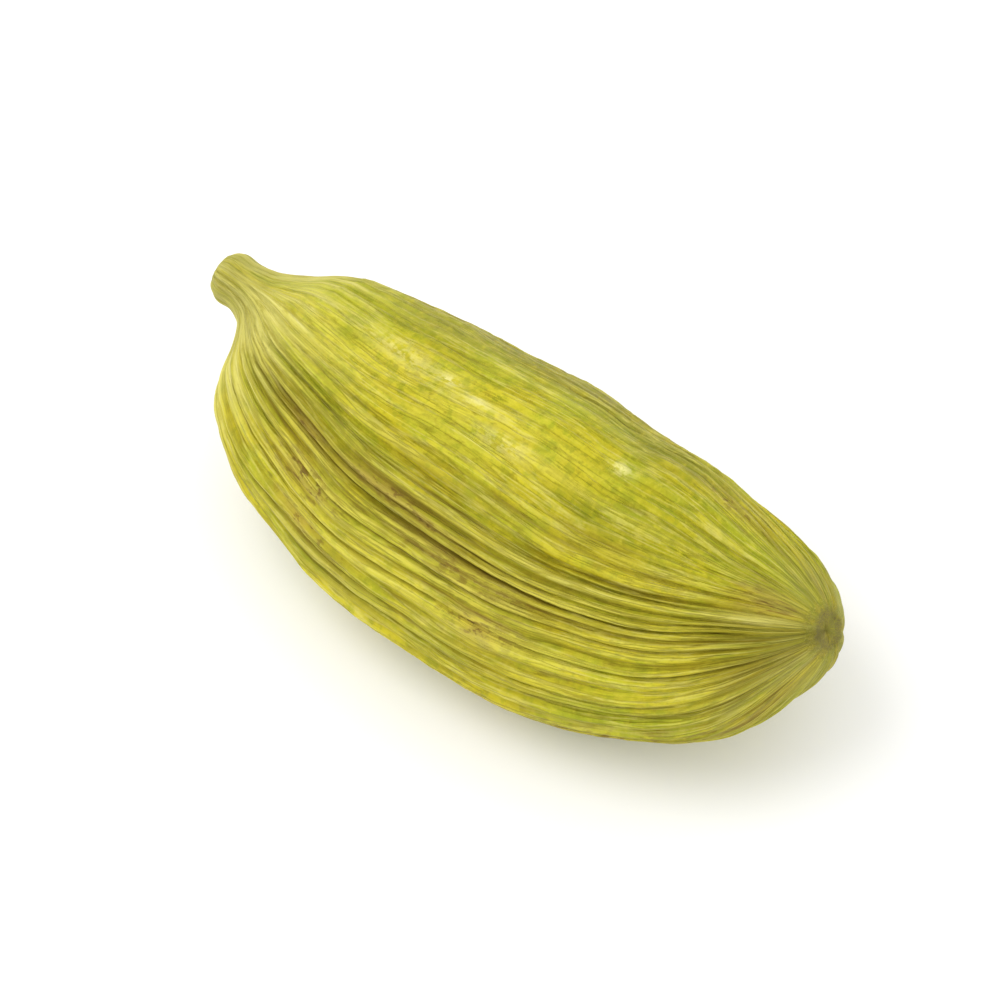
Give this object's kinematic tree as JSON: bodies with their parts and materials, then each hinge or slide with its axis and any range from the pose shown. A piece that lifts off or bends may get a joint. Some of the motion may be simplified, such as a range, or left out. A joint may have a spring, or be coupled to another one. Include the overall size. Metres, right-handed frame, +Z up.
{
  "type": "green cardamom pod",
  "caption": "Whole dried green cardamom pod: a plump ribbed husk of rounded triangular section, with a short stalk stub at one end and a blunt flower scar at the other.",
  "frame": {"origin": "on the ground, under the middle of the pod's bounding box", "axes": "+X along the pod from the stalk end to the flower end, +Z up, with the furrowed face that the picture shows toward -Y and +Z"},
  "size_m": [0.0196, 0.0086, 0.0076],
  "materials": {
    "husk": "dry papery green husk, matt with a faint waxy sheen, paler on the rib crests and olive to brown in the furrows"
  },
  "bodies": {
    "root": {"pod": "husk"}
  },
  "joints": []
}
